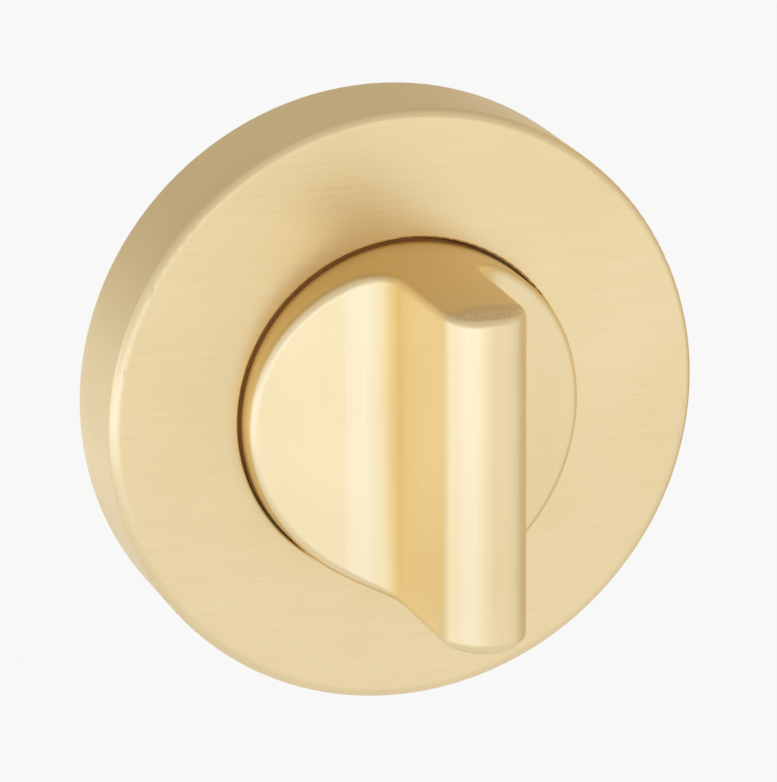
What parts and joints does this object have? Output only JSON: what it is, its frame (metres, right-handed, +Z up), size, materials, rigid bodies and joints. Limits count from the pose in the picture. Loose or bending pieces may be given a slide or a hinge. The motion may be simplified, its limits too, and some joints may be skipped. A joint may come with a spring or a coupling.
{
  "type": "bathroom thumbturn",
  "caption": "Round satin brass thumbturn for a bathroom lock: a milled turn knob with a straight blade, set through a flat round concealed-fix rose, on a square spindle.",
  "frame": {"origin": "on the turning axis, in the plane of the rose's back, midway between the two fixing screws", "axes": "+Z up on the door, +Y into the door along the spindle, knob pointing out along -Y, +X to the right"},
  "size_m": [0.052, 0.0771, 0.052],
  "materials": {
    "satin_brass": "satin",
    "zinc_casting": "satin",
    "plated_steel": "satin",
    "spring_steel": "satin",
    "black_steel": "satin",
    "ball_steel": "polished",
    "nylon": "matte"
  },
  "bodies": {
    "rose": {"cover_rose": "satin_brass", "sub_rose": "zinc_casting", "cover_snap_ring": "spring_steel", "bearing_bush": "nylon", "flat_washer": "plated_steel", "detent_ball_left": "ball_steel", "detent_ball_right": "ball_steel", "detent_spring_left": "spring_steel", "detent_spring_right": "spring_steel", "fixing_screws": "plated_steel"},
    "turn": {"thumbturn": "satin_brass", "circlip": "spring_steel", "spring_washer": "spring_steel", "spindle": "plated_steel", "spindle_grub_screw": "black_steel", "stop_pin": "plated_steel"}
  },
  "joints": [
    {"name": "turn_to_lock", "type": "hinge", "parent": "rose", "child": "turn", "pos_m": [0, 0, 0], "axis": [0, 1, 0], "range_deg": [0, 90]}
  ]
}
